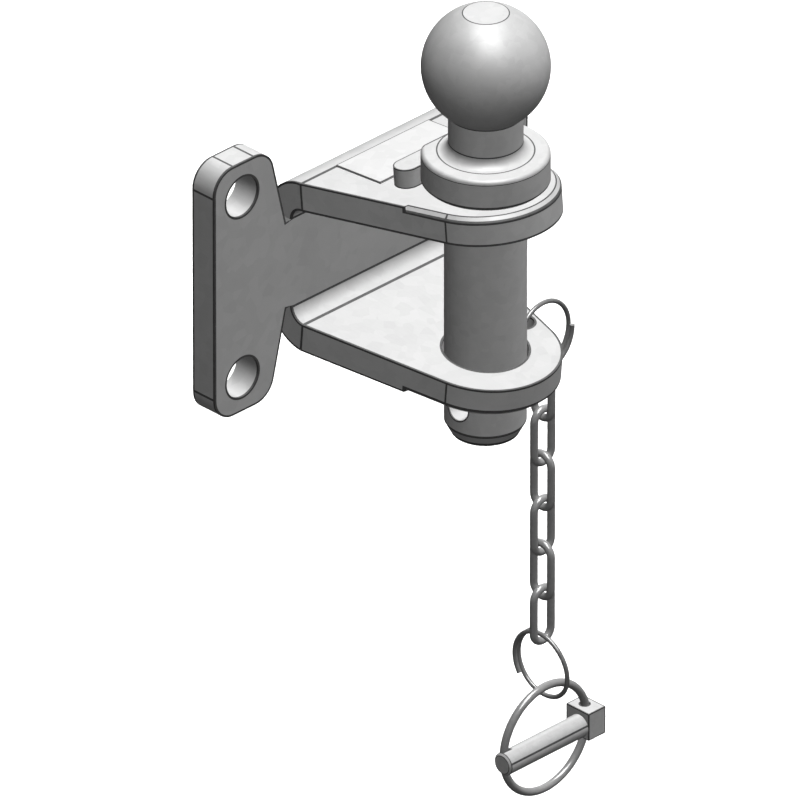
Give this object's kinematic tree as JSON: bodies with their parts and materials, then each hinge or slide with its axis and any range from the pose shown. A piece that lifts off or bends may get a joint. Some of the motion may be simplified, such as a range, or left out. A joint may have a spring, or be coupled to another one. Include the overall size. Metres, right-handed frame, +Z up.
{
  "type": "clevis coupling with ball pin",
  "caption": "Flange-mounted clevis bracket bent from plate, with a drop-in ball pin through its jaws, locked by a linch pin that hangs on a short chain.",
  "frame": {"origin": "centre of the flange's back face, midway between its four bolt holes", "axes": "+Y out of the flange's back into the vehicle, so -Y is forward to the jaws' nose; +X along the flange, to the chain's side; +Z up along the ball pin"},
  "size_m": [0.17, 0.1039, 0.3635],
  "materials": {
    "bracket_steel": "zinc-plated plate, satin",
    "ball_steel": "turned and zinc-plated",
    "bar_steel": "zinc-plated key bar",
    "plate_metal": "blank brushed plate",
    "ring_wire": "bright zinc spring wire",
    "chain_wire": "bright zinc wire",
    "linch_wire": "bright zinc spring wire",
    "linch_steel": "bright zinc forging"
  },
  "bodies": {
    "bracket_body": {"bracket": "bracket_steel", "stop_bar": "bar_steel", "type_plate": "plate_metal"},
    "ball_pin_body": {"ball_pin": "ball_steel"},
    "upper_ring_body": {"upper_split_ring": "ring_wire"},
    "link_1_body": {"chain_link_1": "chain_wire"},
    "link_2_body": {"chain_link_2": "chain_wire"},
    "link_3_body": {"chain_link_3": "chain_wire"},
    "link_4_body": {"chain_link_4": "chain_wire"},
    "link_5_body": {"chain_link_5": "chain_wire"},
    "link_6_body": {"chain_link_6": "chain_wire"},
    "lower_ring_body": {"lower_split_ring": "ring_wire"},
    "linch_ring_body": {"linch_ring": "linch_wire"},
    "linch_pin_body": {"linch_pin": "linch_steel"}
  },
  "joints": [
    {"name": "ball_pin_lift", "type": "slide", "parent": "bracket_body", "child": "ball_pin_body", "axis": [0, 0, 1], "range_m": [0, 0.112]},
    {"name": "upper_ring_swing", "type": "hinge", "parent": "bracket_body", "child": "upper_ring_body", "pos_m": [0.0236, -0.07, -0.02965], "axis": [0, 0, 1], "range_deg": [-25, 25]},
    {"name": "link_1_swing", "type": "hinge", "parent": "upper_ring_body", "child": "link_1_body", "pos_m": [0.0353, -0.07, -0.05665], "axis": [1, 0, 0], "range_deg": [-25, 25]},
    {"name": "link_2_swing", "type": "hinge", "parent": "link_1_body", "child": "link_2_body", "pos_m": [0.0353, -0.07, -0.07685], "axis": [0, 1, 0], "range_deg": [-25, 25]},
    {"name": "link_3_swing", "type": "hinge", "parent": "link_2_body", "child": "link_3_body", "pos_m": [0.0353, -0.07, -0.09685], "axis": [1, 0, 0], "range_deg": [-25, 25]},
    {"name": "link_4_swing", "type": "hinge", "parent": "link_3_body", "child": "link_4_body", "pos_m": [0.0353, -0.07, -0.11685], "axis": [0, 1, 0], "range_deg": [-25, 25]},
    {"name": "link_5_swing", "type": "hinge", "parent": "link_4_body", "child": "link_5_body", "pos_m": [0.0353, -0.07, -0.13685], "axis": [1, 0, 0], "range_deg": [-25, 25]},
    {"name": "link_6_swing", "type": "hinge", "parent": "link_5_body", "child": "link_6_body", "pos_m": [0.0353, -0.07, -0.15685], "axis": [0, 1, 0], "range_deg": [-25, 25]},
    {"name": "lower_ring_swing", "type": "hinge", "parent": "link_6_body", "child": "lower_ring_body", "pos_m": [0.0353, -0.07, -0.17685], "axis": [1, 0, 0], "range_deg": [-25, 25]},
    {"name": "linch_ring_swing", "type": "hinge", "parent": "lower_ring_body", "child": "linch_ring_body", "pos_m": [0.0353, -0.07, -0.20155], "axis": [0, 1, 0], "range_deg": [-25, 25]},
    {"name": "linch_pin_open", "type": "hinge", "parent": "linch_ring_body", "child": "linch_pin_body", "pos_m": [0.05872, -0.07, -0.22119], "axis": [0, 0, 1], "range_deg": [0, 110]}
  ]
}
